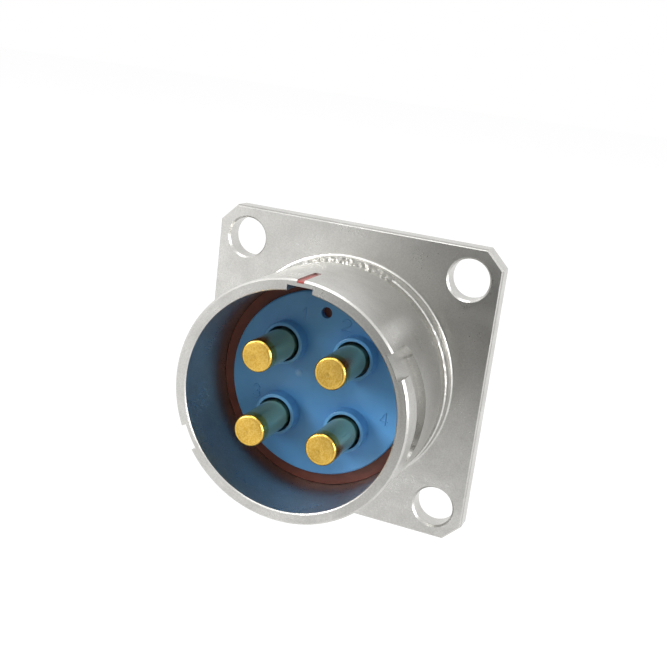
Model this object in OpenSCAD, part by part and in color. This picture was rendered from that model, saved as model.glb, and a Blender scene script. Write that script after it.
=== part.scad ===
// Four-pole panel connector with a square flange and a bayonet barrel.
// The axis runs along Y, the mating face looks to -Y and the keyway is at the top (+Z).
// The origin is on the axis, in the flange's rear face, which lies against the panel.

/* [Flange] */
// Width and height of the square flange
flange_w = 34; // [32:0.1:44]
// Thickness of the flange
flange_t = 2.2; // [1.6:0.1:4]
// Width of the broken edge round the front of the flange
flange_edge = 0.2; // [0.1:0.05:0.5]
// Length cut off each corner of the flange
corner_cut = 2; // [0.5:0.1:3]
// Distance from the edge of the flange to the middle of each screw hole
hole_inset = 3.6; // [3.2:0.1:4]
// Diameter of the screw holes
hole_d = 4.6; // [3:0.1:5]
// Width of the broken edge round each screw hole
hole_edge = 0.2; // [0.05:0.05:0.4]

/* [Barrel] */
// Outer diameter of the barrel in front of the flange
barrel_d = 26.2; // [25.8:0.1:27]
// Length of the barrel in front of the flange
barrel_len = 14.8; // [14:0.1:20]
// Wall of the barrel round the open bore that the plug enters
barrel_wall = 1.25; // [1.1:0.05:1.4]
// Width of the broken edge on the outside of the rim
rim_edge = 0.2; // [0.05:0.05:0.4]
// How far the band beside the flange stands out from the barrel
band_out = 0.25; // [0.1:0.05:0.4]
// Width of the broken edge on the band
band_edge = 0.15; // [0.05:0.05:0.3]
// Radius of the fillet between the band and the flange
root_r = 0.3; // [0.1:0.05:0.6]
// Width of the band, from the flange to the neck groove
neck_at = 2; // [1.4:0.1:3]
// Width of the neck groove
neck_w = 0.9; // [0.4:0.1:1.2]
// Depth of the neck groove
neck_depth = 0.4; // [0.2:0.1:0.5]
// Width of the keyway in the bore
key_w = 2.8; // [2:0.1:3.6]
// Depth of the keyway in the bore
key_depth = 0.55; // [0.3:0.05:0.6]

/* [Bayonet] */
// Number of bayonet tracks round the barrel
track_count = 2; // [2:1:3]
// Angle of the first entry slot above the horizontal
slot_angle = 30.5; // [20:0.5:40]
// Width of the entry slots
slot_w = 2.8; // [2:0.1:3.2]
// Depth of the slots and tracks
track_depth = 0.75; // [0.4:0.05:0.8]
// Width of the tracks
track_w = 3.1; // [2.4:0.1:3.6]
// Distance from the rim to the middle of a track at its entry
track_in = 3.1; // [2.6:0.1:4]
// Distance from the rim to the middle of a track at its deepest place
track_deep = 4.4; // [4:0.1:6]
// How far a track runs round the barrel
track_sweep = 43; // [30:1:70]
// How far the locking pocket at a track's end comes back to the rim
pocket = 0.3; // [0:0.05:0.5]

/* [Index mark] */
// Length of the painted groove that runs back from the rim on top of the barrel
mark_len = 4.6; // [2:0.1:6]
// Width of the painted groove
mark_w = 0.8; // [0.5:0.1:1.4]
// Depth of the painted groove
mark_depth = 0.12; // [0.05:0.01:0.3]

/* [Contacts] */
// Diameter of the contact pins
pin_d = 3.5; // [3:0.1:3.7]
// Diameter of a contact inside its insulator, between the pin and the shoulder
root_d = 3.1; // [2.7:0.05:3.15]
// Distance from the axis to each pin, along X and along Z
pin_offset = 4.12; // [4:0.02:4.4]
// Distance from the rim back to the pin tips
pin_setback = 0.4; // [0:0.1:2]
// Radius of the rounded edge of a pin's tip
tip_r = 0.3; // [0.1:0.05:0.8]
// Diameter of the shoulder of a contact
shoulder_d = 5.2; // [5:0.1:5.4]
// Length of the shoulder of a contact
shoulder_len = 1.2; // [0.8:0.1:1.6]
// Diameter of a contact's rear shank and solder cup
shank_d = 4; // [3.7:0.1:4.2]
// Length of the solder cup behind the insulator
cup_len = 5; // [3:0.1:8]
// Inner diameter of the solder cup
cup_bore_d = 2.9; // [2:0.1:3.1]
// Length of the spring clip behind each shoulder
clip_len = 2.8; // [2:0.1:3.4]
// Width of the slit in each spring clip
clip_slit = 0.9; // [0.4:0.1:1.4]

/* [Insulators] */
// Diameter of the front insulator's disc
disc_d = 20.9; // [20:0.1:22]
// Thickness of the front insulator's disc
disc_t = 0.8; // [0.6:0.1:1.2]
// Distance from the rim back to the face of the disc
cup_depth = 8.4; // [8.2:0.1:9]
// Diameter of the collar round each pin
collar_d = 4.7; // [4.5:0.1:5]
// Height of the collar round each pin
collar_h = 1.6; // [0.8:0.1:2.4]
// Diameter of the hole that each pin comes out of
pin_hole_d = 4; // [3.8:0.05:4.3]
// Diameter of the sleeves on the back of the front insulator
sleeve_d = 5.8; // [5.6:0.1:6]
// How far the sleeves reach into the rear insulator
sleeve_in = 1; // [0.6:0.1:1.4]
// Diameter of the vent hole near the keyway
vent_d = 1.25; // [0.8:0.05:1.6]
// Distance of the vent hole from the axis
vent_at = 8.15; // [7.8:0.05:8.6]
// Thickness of the rubber face seal
seal_t = 1.2; // [0.8:0.1:1.6]

/* [Rear] */
// Outer diameter of the threaded barrel behind the flange
rear_d = 24; // [23.6:0.1:25]
// Length of the rear barrel behind the flange
rear_len = 9; // [8.6:0.1:14]
// Wall of the threaded barrel
rear_wall = 1.3; // [1.1:0.05:1.4]
// Length of the plain pilot that centres the connector in the panel
pilot_len = 1; // [0.6:0.1:1.6]
// How far the pilot stands out from the thread's cylinder
pilot_out = 0.3; // [0.1:0.05:0.5]
// Thickness of the inner web that the seal sits on
web_t = 1.6; // [1:0.1:2]
// How far the inner web stands in from the bore of the threaded barrel
web_lip = 0.7; // [0.5:0.1:0.9]
// How far the tail stands out of the threaded barrel
tail_out = 0.5; // [0:0.1:2]
// Thickness of the washer behind the rear insulator
washer_t = 0.6; // [0.4:0.1:0.8]
// Thickness of the threaded lock ring
ring_t = 2.4; // [1.6:0.1:3]
// Width of the lock ring between the threaded barrel and the insulator's tail
ring_w = 1.95; // [1.8:0.05:2]
// How deep the lock ring sits inside the end of the threaded barrel
ring_in = 1; // [0:0.1:1.4]
// Width of the two spanner slots in the lock ring
spanner_w = 1.8; // [1:0.1:2.4]
// Width of the key that stops the rear insulator from turning
stop_w = 2; // [1.2:0.1:3]

/* [Hidden] */
$fn = 96;
fit = 0.05;          // clearance round what slides into a bore
slack = 0.1;         // clearance between rings and the threaded barrel
over = 1;            // how far a cutter runs past what it cuts
edge = 0.25;         // broken edge on moulded and turned pieces
bore_edge = 0.12;    // broken edge inside the rim
collar_edge = 0.12;  // rounded edge on the collars round the pins
track_steps = 24;    // facets along one track
end_steps = 8;       // facets round a quarter of a track's end
arc_steps = 6;       // facets of a small rounded edge
ramp_share = 0.7;    // share of a track's run that leads away from the rim
pocket_share = 0.25; // share of a track's run that forms the locking pocket
slot_step = 0.06;    // step down from an entry slot into its track
undercut_w = 0.8;    // width of the thread run-out behind the pilot
undercut = 0.5;      // depth of the thread run-out
root_in = 0.1;       // how far inside its collar a pin gets thinner
thread_edge = 0.8;   // broken edge at the end of the thread
relief_from = 66;    // angles between which the neck groove is wider
relief_to = 230;
relief_at = 0.7;     // distance from the flange to the wide part of the neck groove

// heights along the axis, from the panel face towards the plug
face_z = flange_t;
rim_z = face_z + barrel_len;
tip_z = rim_z - pin_setback;
disc_z = rim_z - cup_depth;
seal_z = disc_z - disc_t;
web_z = seal_z - seal_t;
shelf_z = web_z - web_t;
sleeve_z = web_z - sleeve_in;
shoulder_z = sleeve_z - shoulder_len;
clip_z = shoulder_z - clip_len;
ring_z = ring_in - rear_len;
washer_z = ring_z + ring_t;
body_z = washer_z + washer_t;
tail_z = -rear_len - tail_out;
cup_z = tail_z - cup_len;
root_z = disc_z + collar_h - root_in;
pilot_z = -pilot_len;

barrel_r = barrel_d / 2;
bore_r = barrel_r - barrel_wall;
floor_r = barrel_r - track_depth;
rear_r = rear_d / 2;
rear_bore_r = rear_r - rear_wall;
web_r = rear_bore_r - web_lip;
tail_r = rear_bore_r - fit - ring_w - slack;
hole_at = flange_w / 2 - hole_inset;

// one bayonet track, measured along the barrel's surface
track_len = track_sweep * barrel_r * PI / 180;
half_w = track_w / 2;

// pin places, seen from the mating face: 1 and 2 above, 3 and 4 below
pin_places = [[-1, 1], [1, 1], [-1, -1], [1, -1]];

// turns a piece drawn along +Z, with Y up, so that it faces -Y with Z up
module facing_front() {
  rotate([90, 0, 0]) children();
}

module at_pin(i) {
  translate([pin_places[i].x * pin_offset, pin_places[i].y * pin_offset, 0]) children();
}

module at_pins() {
  for (i = [0:3]) at_pin(i) children();
}

module tube(r_in, r_out, z0, z1) {
  rotate_extrude() translate([r_in, z0]) square([r_out - r_in, z1 - z0]);
}

module rod(r, z0, z1) {
  translate([0, 0, z0]) cylinder(r = r, h = z1 - z0);
}

// points of a quarter circle round c, from angle a0, in the half plane of a turned profile
function corner(c, r, a0) =
  [for (k = [0:arc_steps]) let (a = a0 + 90 * k / arc_steps) c + r * [cos(a), sin(a)]];

/* ---- shell ---- */

// places along a track, in millimetres from its entry: its round start, its run and its round end
track_stations = concat(
  [for (k = [1:end_steps]) -half_w * cos(90 * k / (end_steps + 1))],
  [for (k = [0:track_steps]) track_len * k / track_steps],
  [for (k = [end_steps:-1:1]) track_len + half_w * cos(90 * k / (end_steps + 1))]);

// height of a track's middle: a ramp away from the rim, then the locking pocket
function track_z(s) =
  let (t = min(max(s / track_len, 0), 1))
  let (ramp = min(t / ramp_share, 1), back = max((t - 1) / pocket_share + 1, 0))
  rim_z - track_in - (track_deep - track_in) * sin(90 * ramp) + pocket * (1 - cos(180 * back)) / 2;

// half the width of a track: full along its run, a half circle at each end
function track_half(s) =
  let (past = max(-s, s - track_len, 0)) sqrt(half_w * half_w - past * past);

// the four corners of a track's section at s
function track_section(s) =
  let (a = slot_angle - s / barrel_r * 180 / PI, z = track_z(s), h = track_half(s), r1 = barrel_r + over)
  [for (p = [[floor_r, -h], [floor_r, h], [r1, h], [r1, -h]])
    [p[0] * cos(a), p[0] * sin(a), z + p[1]]];

// a track as one swept solid: the path of the plug's bayonet pin
module track_cutter() {
  points = [for (s = track_stations) each track_section(s)];
  last = 4 * (len(track_stations) - 1);
  sides = [for (k = [0:4:last - 4]) for (j = [0:3])
    let (a = k + j, b = k + (j + 1) % 4) each [[a, b, b + 4], [a, b + 4, a + 4]]];
  polyhedron(points = points, faces = concat([[3, 2, 1, 0]], sides, [[last, last + 1, last + 2, last + 3]]));
}

module per_track() {
  for (k = [0:track_count - 1]) rotate([0, 0, 360 * k / track_count]) children();
}

// the straight way in from the rim
module entry_slot_cutter() {
  slot_z = track_z(0);
  intersection() {
    rotate([0, 0, slot_angle])
      translate([floor_r / 2, -slot_w / 2, slot_z]) cube([barrel_r, slot_w, rim_z + over - slot_z]);
    tube(floor_r + slot_step, barrel_r + over, face_z, rim_z + 2 * over);
  }
}

module flange_plate() {
  h = flange_w / 2;
  c = h - corner_cut;
  difference() {
    linear_extrude(flange_t)
      polygon([[-c, -h], [c, -h], [h, -c], [h, c], [c, h], [-c, h], [-h, c], [-h, -c]]);
    for (k = [0:3]) rotate([0, 0, 90 * k]) flange_edge_cutter(h);
    for (k = [0:3]) rotate([0, 0, 90 * k + 45]) flange_edge_cutter((h + c) / sqrt(2));
  }
}

// breaks the front edge of one side of the flange, at a distance d from the axis
module flange_edge_cutter(d) {
  side = flange_edge * sqrt(2);
  translate([d, 0, flange_t]) rotate([0, 45, 0]) cube([side, flange_w + 2 * over, side], center = true);
}

module screw_holes() {
  for (x = [-1, 1], y = [-1, 1]) translate([x * hole_at, y * hole_at, 0]) {
    rod(hole_d / 2, -over, flange_t + over);
    translate([0, 0, flange_t - hole_edge])
      cylinder(d1 = hole_d, d2 = hole_d + 4 * hole_edge, h = 2 * hole_edge);
  }
}

// outside of the barrel, turned: rim edge, straight barrel, neck groove, band and root fillet
module barrel_outside() {
  band_r = barrel_r + band_out;
  neck_r = barrel_r - neck_depth;
  z1 = face_z + neck_at;
  z2 = z1 + neck_w;
  rotate_extrude() polygon(concat(
    [[0, 0], [band_r + root_r, 0], [band_r + root_r, face_z]],
    [for (k = [1:arc_steps]) let (a = 270 - 90 * k / arc_steps)
      [band_r + root_r * (1 + cos(a)), face_z + root_r * (1 + sin(a))]],
    [[band_r, z1 - band_edge], [band_r - band_edge, z1], [neck_r, z1], [neck_r, z2],
     [barrel_r, z2 + edge], [barrel_r, rim_z - rim_edge], [barrel_r - rim_edge, rim_z], [0, rim_z]]));
}

// outside of the rear barrel, turned: pilot, thread run-out, thread's cylinder and its broken edge
module rear_barrel_outside() {
  pilot_r = rear_r + pilot_out;
  relief_r = rear_r - undercut;
  thread_z = pilot_z - undercut_w;
  rotate_extrude() polygon([
    [0, 0], [pilot_r, 0], [pilot_r, pilot_z], [relief_r, pilot_z], [relief_r, thread_z],
    [rear_r, thread_z - undercut], [rear_r, thread_edge - rear_len],
    [rear_r - thread_edge, -rear_len], [0, -rear_len]]);
}

// wider stretch of the neck groove, on part of its round
module neck_relief() {
  rotate_extrude(angle = relief_to - relief_from, start = relief_from)
    translate([barrel_r - neck_depth, face_z + relief_at])
      square([neck_depth + band_out + over, neck_at - relief_at + neck_w / 2]);
}

module index_mark_cutter() {
  translate([0, barrel_r - mark_depth, rim_z - mark_len + mark_w / 2]) {
    rotate([-90, 0, 0]) cylinder(d = mark_w, h = over);
    translate([-mark_w / 2, 0, 0]) cube([mark_w, over, mark_len + over]);
  }
}

module shell() {
  color([0.72, 0.71, 0.69]) facing_front() difference() {
    union() {
      flange_plate();
      barrel_outside();
      rear_barrel_outside();
    }
    screw_holes();
    rod(bore_r, web_z, rim_z + over);
    translate([0, 0, rim_z - bore_edge])
      cylinder(r1 = bore_r, r2 = bore_r + 2 * bore_edge, h = 2 * bore_edge);
    rod(web_r, shelf_z - over, web_z + over);
    rod(rear_bore_r, -rear_len - over, shelf_z);
    translate([-key_w / 2, 0, web_z]) cube([key_w, bore_r + key_depth, rim_z]);
    translate([-stop_w / 2, 0, shelf_z - over])
      cube([stop_w, rear_bore_r - slack, web_t + 2 * over]);
    per_track() track_cutter();
    per_track() entry_slot_cutter();
    neck_relief();
    index_mark_cutter();
  }
}

/* ---- insulators and seals ---- */

// rounded rim of a turned disc: profile from the axis out to r, between z0 and z1
module soft_disc(r, z0, z1, e) {
  rotate_extrude() polygon(concat([[0, z0], [r, z0]], corner([r - e, z1 - e], e, 0), [[0, z1]]));
}

module face_seal() {
  color([0.33, 0.09, 0.05]) facing_front() difference() {
    rod(bore_r - fit, web_z, seal_z);
    at_pins() rod(sleeve_d / 2 + fit, web_z - over, seal_z + over);
  }
}

module front_insulator() {
  color([0.03, 0.25, 0.62]) facing_front() difference() {
    union() {
      soft_disc(disc_d / 2, seal_z, disc_z, edge);
      at_pins() soft_disc(collar_d / 2, seal_z, disc_z + collar_h, collar_edge);
      at_pins() rod(sleeve_d / 2, sleeve_z, seal_z + disc_t / 2);
    }
    at_pins() rod(pin_hole_d / 2, sleeve_z - over, disc_z + collar_h + over);
    translate([0, vent_at, 0]) rod(vent_d / 2, seal_z - over, disc_z + over);
  }
}

module rear_insulator() {
  spigot_r = web_r - fit;
  body_r = rear_bore_r - fit;
  color([0.03, 0.25, 0.62]) facing_front() difference() {
    union() {
      rotate_extrude() polygon([
        [0, tail_z], [tail_r - edge, tail_z], [tail_r, tail_z + edge], [tail_r, body_z],
        [body_r, body_z], [body_r, shelf_z], [spigot_r, shelf_z], [spigot_r, web_z], [0, web_z]]);
      translate([-stop_w / 2 + fit, 0, shelf_z - edge])
        cube([stop_w - 2 * fit, rear_bore_r - slack - fit, web_t + edge]);
    }
    at_pins() rod(sleeve_d / 2 + fit, sleeve_z, web_z + over);
    at_pins() rod(shoulder_d / 2 + fit, clip_z, sleeve_z + over);
    at_pins() rod(shank_d / 2 + fit, tail_z - over, clip_z + over);
  }
}

module thrust_washer() {
  color([0.75, 0.74, 0.72]) facing_front()
    tube(tail_r + slack, rear_bore_r - slack, washer_z, body_z);
}

module lock_ring() {
  color([0.72, 0.71, 0.69]) facing_front() difference() {
    tube(tail_r + slack, rear_bore_r - fit, ring_z, washer_z);
    for (s = [0, 180]) rotate([0, 0, s])
      translate([0, -spanner_w / 2, ring_z - over]) cube([rear_r, spanner_w, over + ring_t / 2]);
  }
}

/* ---- contacts ---- */

module contact_pin(i) {
  pin_r = pin_d / 2;
  shank_r = shank_d / 2;
  color([0.83, 0.65, 0.28]) facing_front() at_pin(i) difference() {
    rotate_extrude() polygon(concat(
      [[0, cup_z], [shank_r, cup_z], [shank_r, shoulder_z], [shoulder_d / 2, shoulder_z],
       [shoulder_d / 2, sleeve_z], [root_d / 2, sleeve_z], [root_d / 2, root_z], [pin_r, root_z]],
      corner([pin_r - tip_r, tip_z - tip_r], tip_r, 0),
      [[0, tip_z]]));
    rod(cup_bore_d / 2, cup_z - over, cup_z + cup_len - over / 2);
    translate([-shank_d, 0, cup_z - over]) cube([2 * shank_d, shank_d, over + cup_len / 2]);
  }
}

module contact_clip(i) {
  color([0.78, 0.6, 0.3]) facing_front() at_pin(i) difference() {
    tube(shank_d / 2 + fit, shoulder_d / 2 - fit, clip_z, shoulder_z);
    translate([0, -clip_slit / 2, clip_z - over]) cube([shoulder_d, clip_slit, clip_len + 2 * over]);
  }
}

shell();
face_seal();
front_insulator();
rear_insulator();
contact_pin(0);  // contact_pin_1
contact_pin(1);  // contact_pin_2
contact_pin(2);  // contact_pin_3
contact_pin(3);  // contact_pin_4
contact_clip(0);  // contact_clip_1
contact_clip(1);  // contact_clip_2
contact_clip(2);  // contact_clip_3
contact_clip(3);  // contact_clip_4
thrust_washer();
lock_ring();
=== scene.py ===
import math
import bmesh
import bpy
from mathutils import Matrix, Vector


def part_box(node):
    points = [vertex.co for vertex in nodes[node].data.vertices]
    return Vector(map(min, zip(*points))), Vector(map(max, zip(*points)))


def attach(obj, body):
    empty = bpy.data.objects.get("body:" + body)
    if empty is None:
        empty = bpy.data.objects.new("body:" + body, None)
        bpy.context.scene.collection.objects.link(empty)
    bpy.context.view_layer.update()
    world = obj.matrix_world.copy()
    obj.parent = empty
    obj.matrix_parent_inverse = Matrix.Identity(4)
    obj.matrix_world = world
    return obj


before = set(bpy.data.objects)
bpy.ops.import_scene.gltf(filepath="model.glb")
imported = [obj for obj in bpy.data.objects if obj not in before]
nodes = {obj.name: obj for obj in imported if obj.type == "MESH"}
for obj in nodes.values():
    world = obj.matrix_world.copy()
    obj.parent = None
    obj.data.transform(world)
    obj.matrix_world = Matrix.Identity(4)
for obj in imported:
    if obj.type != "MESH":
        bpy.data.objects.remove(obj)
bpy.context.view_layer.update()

mm = 0.001
print("frame loaded:", len(nodes), "CAD pieces")


def linearColour(hexColour):
    parts = [int(hexColour[i:i + 2], 16) / 255 for i in (1, 3, 5)]
    return [c / 12.92 if c <= 0.04045 else ((c + 0.055) / 1.055) ** 2.4 for c in parts] + [1.0]


def addNode(tree, kind, inputs=None, **settings):
    made = tree.nodes.new(kind)
    for name, value in settings.items():
        setattr(made, name, value)
    for name, value in (inputs or {}).items():
        if isinstance(value, bpy.types.NodeSocket):
            tree.links.new(value, made.inputs[name])
        else:
            made.inputs[name].default_value = value
    return made


def newTree(name):
    made = bpy.data.materials.new(name)
    made.use_nodes = True
    made.node_tree.nodes.clear()
    return made, made.node_tree


# Shell and lock ring: zinc die casting, turned and blasted, then nickel plated. It looks light grey and satin,
# with a fine sparkle from the blasting and a dull cast skin left on the band beside the flange.
shellFinish = {
    "plate": "#D2D1CD",
    "plateShade": "#BDBCB8",
    "paint": "#A5423B",        # enamel wiped into the index groove
    "paintShadedEnd": "#6B2E27",    # the same paint, darker, as painted shade towards the groove's rounded end
    "roughness": 0.32,
    "blastMm": 0.16,           # blasted grain, drawn about twice as coarse as real so that it shows
    "patchMm": 3.5,            # slow change of tone in the plating
    "feedMm": 0.16,            # feed of the turning tool
    "castMm": 0.5,             # skin left as cast
    "barrelRadius": 13.1,
    "band": (-4.15, -2.5),     # the cast band along the axis
    "markHalf": 0.4,           # half the width of the index groove, and where it ends
    "markEnd": -12.4,
    "markTop": 12.7,           # the groove's paint lies above this
    "shadedEndMm": 1.6,             # length over which painted shade darkens the paint towards its end
    "sparkle": (0.75, 1.25),   # grain and patches added, from duller to brighter
    "sparkleRoughness": 0.05,
}


def satinNickel():
    s = shellFinish
    made, tree = newTree("satin nickel plated zinc")
    place = addNode(tree, "ShaderNodeTexCoord").outputs["Object"]
    axes = addNode(tree, "ShaderNodeSeparateXYZ", {0: place})
    x, y, z = axes.outputs[0], axes.outputs[1], axes.outputs[2]
    flat = addNode(tree, "ShaderNodeVectorMath", {0: place, 1: (1.0, 0.0, 1.0)}, operation="MULTIPLY")
    radius = addNode(tree, "ShaderNodeVectorMath", {0: flat.outputs[0]}, operation="LENGTH").outputs["Value"]

    blast = addNode(tree, "ShaderNodeTexNoise", {"Vector": place, "Scale": 1 / (s["blastMm"] * mm),
                                                 "Detail": 2.0,
                                                 "Roughness": 0.6}).outputs[0]
    patch = addNode(tree, "ShaderNodeTexNoise", {"Vector": place, "Scale": 1 / (s["patchMm"] * mm),
                                                 "Detail": 4.0,
                                                 "Roughness": 0.6}).outputs[0]
    rings = addNode(tree, "ShaderNodeCombineXYZ", {"X": radius, "Y": y}).outputs[0]
    feed = addNode(tree, "ShaderNodeTexNoise", {"Vector": rings, "Scale": 1 / (s["feedMm"] * mm),
                                                "Detail": 1.0}, noise_dimensions="2D").outputs[0]
    onBarrel = addNode(tree, "ShaderNodeMapRange", {"Value": radius, "From Min": (s["barrelRadius"] + 0.2) * mm,
                                                    "From Max": (s["barrelRadius"] + 0.1) * mm}).outputs[0]
    turned = addNode(tree, "ShaderNodeMath", {0: feed, 1: onBarrel}, operation="MULTIPLY").outputs[0]

    # the cast band lies between two planes and outside the neck
    bandFront = addNode(tree, "ShaderNodeMapRange", {"Value": y, "From Min": (s["band"][0] - 0.1) * mm,
                                                     "From Max": (s["band"][0] + 0.1) * mm}).outputs[0]
    bandRear = addNode(tree, "ShaderNodeMapRange", {"Value": y, "From Min": (s["band"][1] + 0.1) * mm,
                                                    "From Max": (s["band"][1] - 0.1) * mm}).outputs[0]
    band = addNode(tree, "ShaderNodeMath", {0: bandFront, 1: bandRear}, operation="MULTIPLY").outputs[0]
    castSkin = addNode(tree, "ShaderNodeTexVoronoi", {"Vector": place, "Scale": 1 / (s["castMm"] * mm)},
                       feature="SMOOTH_F1").outputs[0]
    cast = addNode(tree, "ShaderNodeMath", {0: castSkin, 1: band}, operation="MULTIPLY").outputs[0]

    # paint in the groove that runs back from the rim at the top
    across = addNode(tree, "ShaderNodeMath", {0: x}, operation="ABSOLUTE").outputs[0]
    inWidth = addNode(tree, "ShaderNodeMapRange", {"Value": across, "From Min": (s["markHalf"] + 0.02) * mm,
                                                   "From Max": (s["markHalf"] - 0.06) * mm}).outputs[0]
    inLength = addNode(tree, "ShaderNodeMapRange", {"Value": y, "From Min": (s["markEnd"] + 0.05) * mm,
                                                    "From Max": (s["markEnd"] - 0.1) * mm}).outputs[0]
    onTop = addNode(tree, "ShaderNodeMapRange", {"Value": z, "From Min": s["markTop"] * mm,
                                                "From Max": (s["markTop"] + 0.1) * mm}).outputs[0]
    inGroove = addNode(tree, "ShaderNodeMath", {0: inWidth, 1: inLength}, operation="MULTIPLY").outputs[0]
    painted = addNode(tree, "ShaderNodeMath", {0: inGroove, 1: onTop}, operation="MULTIPLY").outputs[0]
    # painted shade: the paint turns darker towards the groove's rounded end
    shadedEnd = addNode(tree, "ShaderNodeMapRange", {"Value": y, "From Min": (s["markEnd"] - s["shadedEndMm"]) * mm,
                                                "From Max": s["markEnd"] * mm}).outputs[0]
    paint = addNode(tree, "ShaderNodeMix", {"Factor": shadedEnd, 6: linearColour(s["paint"]),
                                            7: linearColour(s["paintShadedEnd"])}, data_type="RGBA").outputs[2]

    sparkle = addNode(tree, "ShaderNodeMath", {0: blast, 1: patch}, operation="ADD").outputs[0]
    low, high = s["sparkle"]
    tone = addNode(tree, "ShaderNodeMapRange", {"Value": sparkle, "From Min": low, "From Max": high}).outputs[0]
    plate = addNode(tree, "ShaderNodeMix", {"Factor": tone, 6: linearColour(s["plateShade"]),
                                            7: linearColour(s["plate"])}, data_type="RGBA").outputs[2]
    colour = addNode(tree, "ShaderNodeMix", {"Factor": painted, 6: plate, 7: paint},
                     data_type="RGBA").outputs[2]
    metallic = addNode(tree, "ShaderNodeMath", {0: 1.0, 1: painted}, operation="SUBTRACT").outputs[0]
    dull = addNode(tree, "ShaderNodeMapRange", {"Value": sparkle, "From Min": low, "From Max": high,
                                                "To Min": s["roughness"] + s["sparkleRoughness"],
                                                "To Max": s["roughness"] - s["sparkleRoughness"]}).outputs[0]

    blastBump = addNode(tree, "ShaderNodeBump", {"Height": blast, "Strength": 0.6, "Distance": 0.02 * mm})
    turnBump = addNode(tree, "ShaderNodeBump", {"Height": turned, "Strength": 0.35, "Distance": 0.015 * mm,
                                                "Normal": blastBump.outputs[0]})
    castBump = addNode(tree, "ShaderNodeBump", {"Height": cast, "Strength": 0.9, "Distance": 0.12 * mm,
                                                "Normal": turnBump.outputs[0]})
    shader = addNode(tree, "ShaderNodeBsdfPrincipled", {"Base Color": colour, "Metallic": metallic,
                                                        "Roughness": dull, "Normal": castBump.outputs[0]})
    addNode(tree, "ShaderNodeOutputMaterial", {"Surface": shader.outputs[0]})
    return made


# Insulators: injection moulded nylon, coloured blue right through. It is half glossy, so it carries a soft
# pale sheen over a strong blue, with a faint change of tone where the melt flowed.
insulatorFinish = {
    "blue": "#5C9FD8",
    "blueDeep": "#4A8BC8",
    "gateHighlight": "#9CC4E6",     # painted highlight on the spot where the mould's gate was cut off
    "gateAt": (-2.39, 0.80),   # its middle, across and up, in millimetres
    "gateMm": 0.5,
    "gateHighlightShare": 0.5,          # how much of the painted highlight shows
    "roughness": 0.34,
    "flowMm": 4.0,
    "skinMm": 0.45,
}


def mouldedNylon():
    s = insulatorFinish
    made, tree = newTree("moulded blue nylon")
    place = addNode(tree, "ShaderNodeTexCoord").outputs["Object"]
    flow = addNode(tree, "ShaderNodeTexNoise", {"Vector": place, "Scale": 1 / (s["flowMm"] * mm),
                                                "Detail": 3.0}).outputs[0]
    skin = addNode(tree, "ShaderNodeTexNoise", {"Vector": place, "Scale": 1 / (s["skinMm"] * mm),
                                                "Detail": 2.0}).outputs[0]
    flat = addNode(tree, "ShaderNodeVectorMath", {0: place, 1: (1.0, 0.0, 1.0)},
                   operation="MULTIPLY").outputs[0]
    gate = addNode(tree, "ShaderNodeVectorMath", {0: flat, 1: (s["gateAt"][0] * mm, 0.0, s["gateAt"][1] * mm)},
                   operation="DISTANCE").outputs["Value"]
    atGate = addNode(tree, "ShaderNodeMapRange", {"Value": gate, "From Min": s["gateMm"] * mm,
                                                  "From Max": 0.1 * mm}).outputs[0]
    blue = addNode(tree, "ShaderNodeMix", {"Factor": flow, 6: linearColour(s["blueDeep"]),
                                           7: linearColour(s["blue"])}, data_type="RGBA").outputs[2]
    # painted highlight: a lighter colour over the gate mark, which also gets a small bump
    highlighted = addNode(tree, "ShaderNodeMath", {0: atGate, 1: s["gateHighlightShare"]}, operation="MULTIPLY").outputs[0]
    colour = addNode(tree, "ShaderNodeMix", {"Factor": highlighted, 6: blue, 7: linearColour(s["gateHighlight"])},
                     data_type="RGBA").outputs[2]
    dull = addNode(tree, "ShaderNodeMapRange", {"Value": skin, "From Min": 0.3, "From Max": 0.7,
                                                "To Min": s["roughness"] - 0.05,
                                                "To Max": s["roughness"] + 0.06}).outputs[0]
    skinBump = addNode(tree, "ShaderNodeBump", {"Height": skin, "Strength": 0.3, "Distance": 0.02 * mm})
    gateBump = addNode(tree, "ShaderNodeBump", {"Height": atGate, "Strength": 0.8, "Distance": 0.06 * mm,
                                                "Normal": skinBump.outputs[0]})
    shader = addNode(tree, "ShaderNodeBsdfPrincipled", {"Base Color": colour, "Roughness": dull,
                                                        "Normal": gateBump.outputs[0]})
    addNode(tree, "ShaderNodeOutputMaterial", {"Surface": shader.outputs[0]})
    return made


# Face seal: moulded silicone rubber, red brown. It is matt and soft looking, with a dusty bloom.
sealFinish = {"rubber": "#753A2E", "rubberDark": "#552419", "roughness": 0.5, "bloomMm": 1.2}


def siliconeRubber():
    s = sealFinish
    made, tree = newTree("red brown silicone rubber")
    place = addNode(tree, "ShaderNodeTexCoord").outputs["Object"]
    bloom = addNode(tree, "ShaderNodeTexNoise", {"Vector": place, "Scale": 1 / (s["bloomMm"] * mm),
                                                 "Detail": 4.0}).outputs[0]
    colour = addNode(tree, "ShaderNodeMix", {"Factor": bloom, 6: linearColour(s["rubberDark"]),
                                             7: linearColour(s["rubber"])}, data_type="RGBA").outputs[2]
    bump = addNode(tree, "ShaderNodeBump", {"Height": bloom, "Strength": 0.4, "Distance": 0.05 * mm})
    shader = addNode(tree, "ShaderNodeBsdfPrincipled", {"Base Color": colour, "Roughness": s["roughness"],
                                                        "Normal": bump.outputs[0]})
    addNode(tree, "ShaderNodeOutputMaterial", {"Surface": shader.outputs[0]})
    return made


# Contacts: turned brass with a gold flash, thicker and yellower on the nose than on the shank. The shank
# mirrors what stands round it, and the flat end keeps the parting tool's rings and grain.
contactFinish = {
    "nose": "#EFCB6E",
    "noseDeep": "#D9A93F",
    "shank": "#F0DFAE",
    "roughness": 0.2,
    "endRoughness": 0.3,
    "turnMm": 0.1,
    "grainMm": 0.14,
    "pinAt": 4.12,        # middle of each pin, across and up
    "endY": -16.5,        # in front of this lies the flat end
    "noseY": -15.3,       # in front of this the flash is thick
    "centreMm": 0.3,      # small dent that the parting tool leaves in the middle of the end
}


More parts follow.
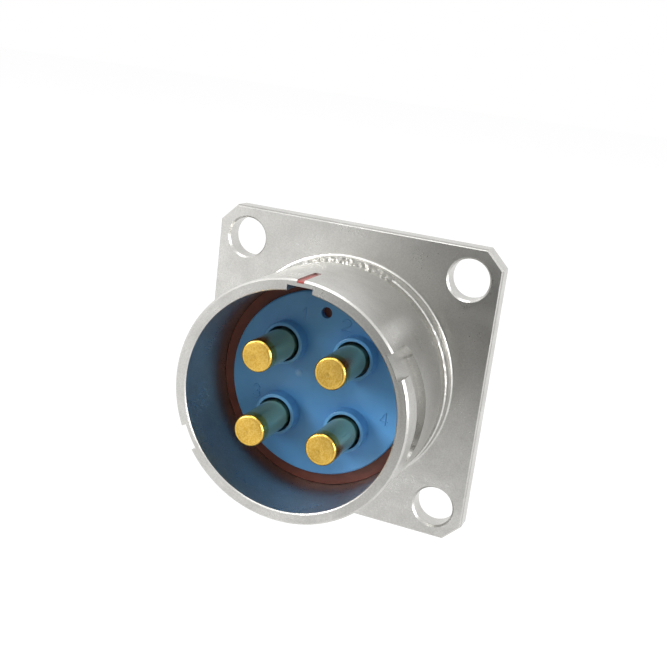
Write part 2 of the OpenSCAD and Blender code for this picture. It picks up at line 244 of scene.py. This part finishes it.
def goldPlate():
    s = contactFinish
    made, tree = newTree("gold plated brass")
    place = addNode(tree, "ShaderNodeTexCoord").outputs["Object"]
    y = addNode(tree, "ShaderNodeSeparateXYZ", {0: place}).outputs[1]
    mirrored = addNode(tree, "ShaderNodeVectorMath", {0: place}, operation="ABSOLUTE").outputs[0]
    flat = addNode(tree, "ShaderNodeVectorMath", {0: mirrored, 1: (1.0, 0.0, 1.0)},
                   operation="MULTIPLY").outputs[0]
    fromAxis = addNode(tree, "ShaderNodeVectorMath", {0: flat, 1: (s["pinAt"] * mm, 0.0, s["pinAt"] * mm)},
                       operation="DISTANCE").outputs["Value"]
    grain = addNode(tree, "ShaderNodeTexNoise", {"Vector": place, "Scale": 1 / (s["grainMm"] * mm),
                                                 "Detail": 3.0,
                                                 "Roughness": 0.6}).outputs[0]
    along = addNode(tree, "ShaderNodeTexNoise", {"W": y, "Scale": 1 / (s["turnMm"] * mm), "Detail": 1.0},
                    noise_dimensions="1D").outputs[0]
    rings = addNode(tree, "ShaderNodeTexNoise", {"W": fromAxis, "Scale": 1 / (s["turnMm"] * mm), "Detail": 1.0},
                    noise_dimensions="1D").outputs[0]
    atEnd = addNode(tree, "ShaderNodeMapRange", {"Value": y, "From Min": s["endY"] * mm,
                                                 "From Max": (s["endY"] - 0.08) * mm}).outputs[0]
    atNose = addNode(tree, "ShaderNodeMapRange", {"Value": y, "From Min": (s["noseY"] + 0.2) * mm,
                                                  "From Max": (s["noseY"] - 0.2) * mm}).outputs[0]
    atCentre = addNode(tree, "ShaderNodeMapRange", {"Value": fromAxis, "From Min": s["centreMm"] * mm,
                                                    "From Max": 0.05 * mm}).outputs[0]
    endRelief = addNode(tree, "ShaderNodeMath", {0: grain, 1: rings}, operation="ADD").outputs[0]
    endRelief = addNode(tree, "ShaderNodeMath", {0: endRelief, 1: atCentre}, operation="SUBTRACT").outputs[0]
    endRelief = addNode(tree, "ShaderNodeMath", {0: endRelief, 1: atEnd}, operation="MULTIPLY").outputs[0]
    dull = addNode(tree, "ShaderNodeMapRange", {"Value": atEnd, "To Min": s["roughness"],
                                                "To Max": s["endRoughness"]}).outputs[0]
    mottled = addNode(tree, "ShaderNodeMapRange", {"Value": grain, "From Min": 0.35,
                                                   "From Max": 0.65}).outputs[0]
    nose = addNode(tree, "ShaderNodeMix", {"Factor": mottled, 6: linearColour(s["noseDeep"]),
                                           7: linearColour(s["nose"])}, data_type="RGBA").outputs[2]
    colour = addNode(tree, "ShaderNodeMix", {"Factor": atNose, 6: linearColour(s["shank"]), 7: nose},
                     data_type="RGBA").outputs[2]
    turnBump = addNode(tree, "ShaderNodeBump", {"Height": along, "Strength": 0.2, "Distance": 0.005 * mm})
    endBump = addNode(tree, "ShaderNodeBump", {"Height": endRelief, "Strength": 0.6, "Distance": 0.03 * mm,
                                               "Normal": turnBump.outputs[0]})
    shader = addNode(tree, "ShaderNodeBsdfPrincipled", {"Base Color": colour, "Metallic": 1.0,
                                                        "Roughness": dull, "Normal": endBump.outputs[0]})
    addNode(tree, "ShaderNodeOutputMaterial", {"Surface": shader.outputs[0]})
    return made


# Spring clips and thrust washer: cold rolled strip, which shows fine lines one way.
clipFinish = {"bronze": "#B98A5A", "roughness": 0.3}
washerFinish = {"steel": "#C4C3BF", "roughness": 0.38}
rolling = {"lineMm": 0.125, "drawnOut": (0.05, 1.0, 1.0), "smoother": 0.05, "rougher": 0.08}


def rolledStrip(name, hexColour, roughness):
    made, tree = newTree(name)
    place = addNode(tree, "ShaderNodeTexCoord").outputs["Object"]
    drawn = addNode(tree, "ShaderNodeVectorMath", {0: place, 1: rolling["drawnOut"]},
                    operation="MULTIPLY").outputs[0]
    lines = addNode(tree, "ShaderNodeTexNoise", {"Vector": drawn, "Scale": 1 / (rolling["lineMm"] * mm),
                                                 "Detail": 2.0}).outputs[0]
    bump = addNode(tree, "ShaderNodeBump", {"Height": lines, "Strength": 0.2, "Distance": 0.01 * mm})
    dull = addNode(tree, "ShaderNodeMapRange", {"Value": lines, "To Min": roughness - rolling["smoother"],
                                                "To Max": roughness + rolling["rougher"]}).outputs[0]
    shader = addNode(tree, "ShaderNodeBsdfPrincipled", {"Base Color": linearColour(hexColour), "Metallic": 1.0,
                                                        "Roughness": dull, "Normal": bump.outputs[0]})
    addNode(tree, "ShaderNodeOutputMaterial", {"Surface": shader.outputs[0]})
    return made


nickel = satinNickel()
nylon = mouldedNylon()
rubber = siliconeRubber()
gold = goldPlate()
bronze = rolledStrip("phosphor bronze strip", clipFinish["bronze"], clipFinish["roughness"])
steel = rolledStrip("nickel plated steel strip", washerFinish["steel"], washerFinish["roughness"])

for name, item in nodes.items():
    if name in ("shell", "lock_ring"):
        finish = nickel
    elif name == "face_seal":
        finish = rubber
    elif name.startswith("contact_pin"):
        finish = gold
    elif name.startswith("contact_clip"):
        finish = bronze
    elif name == "thrust_washer":
        finish = steel
    else:
        finish = nylon
    for slot in item.material_slots:
        slot.material = finish
print("materials set")


# Contact numerals, raised on the front insulator. Sizes in millimetres.
numerals = {
    "height": 0.07,        # how far they stand out of the disc
    "stroke": 0.2,
    "sunk": 0.03,          # how far their backs lie in the disc
    "collar": 1.6,         # how far the collars stand out of the disc
    "places": {            # middle of each numeral, and its height and width
        "1": ((-2.47, 7.49), 1.6, 0.5),
        "2": ((2.45, 7.25), 1.3, 1.1),
        "3": ((-7.26, -2.44), 1.5, 0.85),
        "4": ((8.03, -2.09), 1.45, 0.95),
    },
    "strokes": {           # each stroke in a box from -0.5 to 0.5 each way
        "1": [[(-0.5, 0.25), (0.1, 0.5), (0.1, -0.5)]],
        "2": [[(-0.45, 0.25), (-0.3, 0.43), (0.0, 0.5), (0.32, 0.42), (0.45, 0.22), (0.35, 0.0), (-0.5, -0.5),
               (0.5, -0.5)]],
        "3": [[(-0.45, 0.36), (-0.2, 0.5), (0.15, 0.49), (0.4, 0.3), (0.33, 0.1), (0.0, 0.02), (0.38, -0.08),
               (0.5, -0.28), (0.3, -0.46), (0.0, -0.5), (-0.3, -0.46), (-0.5, -0.3)]],
        "4": [[(0.2, -0.5), (0.2, 0.5), (-0.5, -0.2), (0.5, -0.2)]],
    },
}


def raisedStroke(bm, line, width, back, front):  # a stroke with sloping sides along points across and up
    rows = []
    for i, p in enumerate(line):
        before = line[max(i - 1, 0)]
        after = line[min(i + 1, len(line) - 1)]
        along = (Vector(after) - Vector(before)).normalized()
        side = Vector((-along.y, along.x))
        row = []
        for share, depth in ((-1, back), (-0.45, front), (0.45, front), (1, back)):
            q = Vector(p) + side * share * width / 2
            row.append(bm.verts.new((q.x * mm, depth * mm, q.y * mm)))
        rows.append(row)
    joinRows(bm, rows)


def joinRows(bm, rows):  # open at the back, where the strip lies in its carrier
    for a, b in zip(rows, rows[1:]):
        for j in range(len(a) - 1):
            bm.faces.new((a[j], a[j + 1], b[j + 1], b[j]))
    bm.faces.new(rows[0])
    bm.faces.new(list(reversed(rows[-1])))


def addPiece(name, bm, finish):
    bmesh.ops.recalc_face_normals(bm, faces=bm.faces[:])
    mesh = bpy.data.meshes.new(name)
    bm.to_mesh(mesh)
    bm.free()
    mesh.materials.append(finish)
    piece = bpy.data.objects.new(name, mesh)
    bpy.context.collection.objects.link(piece)
    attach(piece, "root")


def raisedNumerals():
    n = numerals
    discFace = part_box("front_insulator")[0][1] / mm + n["collar"]
    for digit, (middle, tall, wide) in n["places"].items():
        bm = bmesh.new()
        for line in n["strokes"][digit]:
            points = [(middle[0] + p[0] * wide, middle[1] + p[1] * tall) for p in line]
            raisedStroke(bm, points, n["stroke"], discFace + n["sunk"], discFace - n["height"])
        addPiece("numeral_" + digit, bm, nylon)


raisedNumerals()
print("numerals made")

# Thread on the rear barrel, in millimetres: a ridge wound round the barrel that fades out at both ends.
thread = {
    "radius": 12.0,
    "height": 0.28,
    "sunk": 0.04,        # how far the ridge's foot lies in the barrel
    "pitch": 1.0,
    "footHalf": 0.36,    # half the width of the ridge at its foot and at its crest
    "crestHalf": 0.06,
    "start": 2.5,
    "end": 8.15,
    "fade": 6,           # the ridge fades over one sixth of its turns at each end
    "fadeSunk": 0.03,
    "steps": 72,         # facets in one turn
}


def rearThread():
    t = thread
    bm = bmesh.new()
    count = int((t["end"] - t["start"]) / t["pitch"] * t["steps"])
    low = t["radius"] - t["sunk"]
    foot, crest = t["footHalf"], t["crestHalf"]
    rows = []
    for i in range(count + 1):
        angle = 2 * math.pi * i / t["steps"]
        y = t["start"] + t["pitch"] * i / t["steps"]
        fade = min(1.0, t["fade"] * i / count, t["fade"] * (count - i) / count)
        high = t["radius"] + t["height"] * fade - t["fadeSunk"] * (1 - fade)
        row = []
        for radius, offset in ((low, -foot), (high, -crest), (high, crest), (low, foot)):
            across, up = radius * math.cos(angle), radius * math.sin(angle)
            row.append(bm.verts.new((across * mm, (y + offset) * mm, up * mm)))
        rows.append(row)
    joinRows(bm, rows)
    addPiece("rear_thread", bm, nickel)


rearThread()
print("thread made")

# Studio: a pale floor well under the part, an even white surround, three soft boxes and a dark card near
# the camera that shows only as a painted dark reflection in the metal.
studio = {
    "floorZ": -60.0,           # millimetres
    "floorTone": "#757575",
    "floorGlow": 0.92,
    "worldLight": 0.38,        # what the surround gives to matt surfaces
    "reflectionCardTone": "#1E1E1D",
    "cardY": -150.0,
    "cardX": (-50.0, 90.0),
    "cardZ": (-58.0, 60.0),
    "floorHalf": 3000.0,
    "boxes": {                 # place in metres, width, height and watts
        "key box": ((-0.75, -0.6, 0.45), 0.5, 0.5, 11.0),
        "top box": ((-0.1, -0.2, 0.9), 0.5, 0.5, 2.0),
        "right box": ((0.6, -0.25, 0.15), 0.2, 0.4, 1.6),
    },
}


def seenDirectly(tree):  # 1 for what the camera, a mirror or glass shows
    path = addNode(tree, "ShaderNodeLightPath")
    seen = addNode(tree, "ShaderNodeMath", {0: path.outputs["Is Camera Ray"], 1: path.outputs["Is Glossy Ray"]},
                   operation="MAXIMUM").outputs[0]
    return addNode(tree, "ShaderNodeMath", {0: seen, 1: path.outputs["Is Transmission Ray"]},
                   operation="MAXIMUM").outputs[0]


def paleFloor():
    made, tree = newTree("pale studio floor")
    matt = addNode(tree, "ShaderNodeBsdfDiffuse", {"Color": linearColour(studio["floorTone"])})
    glow = addNode(tree, "ShaderNodeEmission", {"Color": (1.0, 1.0, 1.0, 1.0), "Strength": studio["floorGlow"]})
    both = addNode(tree, "ShaderNodeAddShader", {0: matt.outputs[0], 1: glow.outputs[0]})
    mixed = addNode(tree, "ShaderNodeMixShader", {0: seenDirectly(tree), 1: matt.outputs[0],
                                                   2: both.outputs[0]})
    addNode(tree, "ShaderNodeOutputMaterial", {"Surface": mixed.outputs[0]})
    return made


def darkReflectionCard():
    made, tree = newTree("dark reflection card")
    matt = addNode(tree, "ShaderNodeBsdfDiffuse", {"Color": linearColour(studio["reflectionCardTone"])})
    addNode(tree, "ShaderNodeOutputMaterial", {"Surface": matt.outputs[0]})
    return made


def addSheet(name, corners, finish):
    mesh = bpy.data.meshes.new(name)
    mesh.from_pydata([[c * mm for c in corner] for corner in corners], [], [(0, 1, 2, 3)])
    mesh.materials.append(finish)
    item = bpy.data.objects.new(name, mesh)
    bpy.context.collection.objects.link(item)
    return item


z, r = studio["floorZ"], studio["floorHalf"]
addSheet("floor", [(-r, -r, z), (r, -r, z), (r, r, z), (-r, r, z)], paleFloor())

# dark card behind the camera, seen only in the metal: a painted dark reflection standing in for the dark room
# there
y, (x0, x1), (z0, z1) = studio["cardY"], studio["cardX"], studio["cardZ"]
card = addSheet("card", [(x0, y, z0), (x1, y, z0), (x1, y, z1), (x0, y, z1)], darkReflectionCard())
card.visible_camera = False     # only the metal sees it
card.visible_diffuse = False
card.visible_shadow = False

world = bpy.data.worlds.new("studio")
bpy.context.scene.world = world
world.use_nodes = True
world.node_tree.nodes.clear()
strength = addNode(world.node_tree, "ShaderNodeMapRange", {"Value": seenDirectly(world.node_tree),
                                                           "To Min": studio["worldLight"], "To Max": 1.0})
surround = addNode(world.node_tree, "ShaderNodeBackground", {"Color": (1.0, 1.0, 1.0, 1.0),
                                                             "Strength": strength.outputs[0]})
addNode(world.node_tree, "ShaderNodeOutputWorld", {"Surface": surround.outputs[0]})


def softBox(name, place, width, height, power):  # aimed at the part
    lamp = bpy.data.lights.new(name, "AREA")
    lamp.shape = "RECTANGLE"
    lamp.size = width
    lamp.size_y = height
    lamp.energy = power
    item = bpy.data.objects.new(name, lamp)
    item.location = place
    item.rotation_euler = (-Vector(place)).to_track_quat("-Z", "Y").to_euler()
    bpy.context.collection.objects.link(item)


for name, settings in studio["boxes"].items():
    softBox(name, *settings)

camera = {
    "place": (36.891, -106.694, 34.143),   # millimetres
    "azimuth": 20.062,
    "elevation": 15.054,
    "roll": 7.17,
    "lens": 53.97,
    "sensor": 36,
    "nearest": 0.005,                       # metres; the part is closer than the usual limit
}


def lookAtPart():
    c = camera
    a, e, r = (math.radians(c[k]) for k in ("azimuth", "elevation", "roll"))
    back = Vector((math.sin(a) * math.cos(e), -math.cos(a) * math.cos(e), math.sin(e)))
    level = Vector((math.cos(a), math.sin(a), 0))
    right = level * math.cos(r) + back.cross(level) * math.sin(r)
    data = bpy.data.cameras.new("camera")
    data.lens = c["lens"]
    data.sensor_width = c["sensor"]
    data.clip_start = c["nearest"]
    item = bpy.data.objects.new("camera", data)
    turn = Matrix((right, back.cross(right), back)).transposed().to_4x4()
    item.matrix_world = Matrix.Translation(Vector(c["place"]) * mm) @ turn
    bpy.context.collection.objects.link(item)
    bpy.context.scene.camera = item


lookAtPart()
bpy.context.scene.view_settings.view_transform = "Standard"
print("studio and camera set")

bpy.context.view_layer.update()
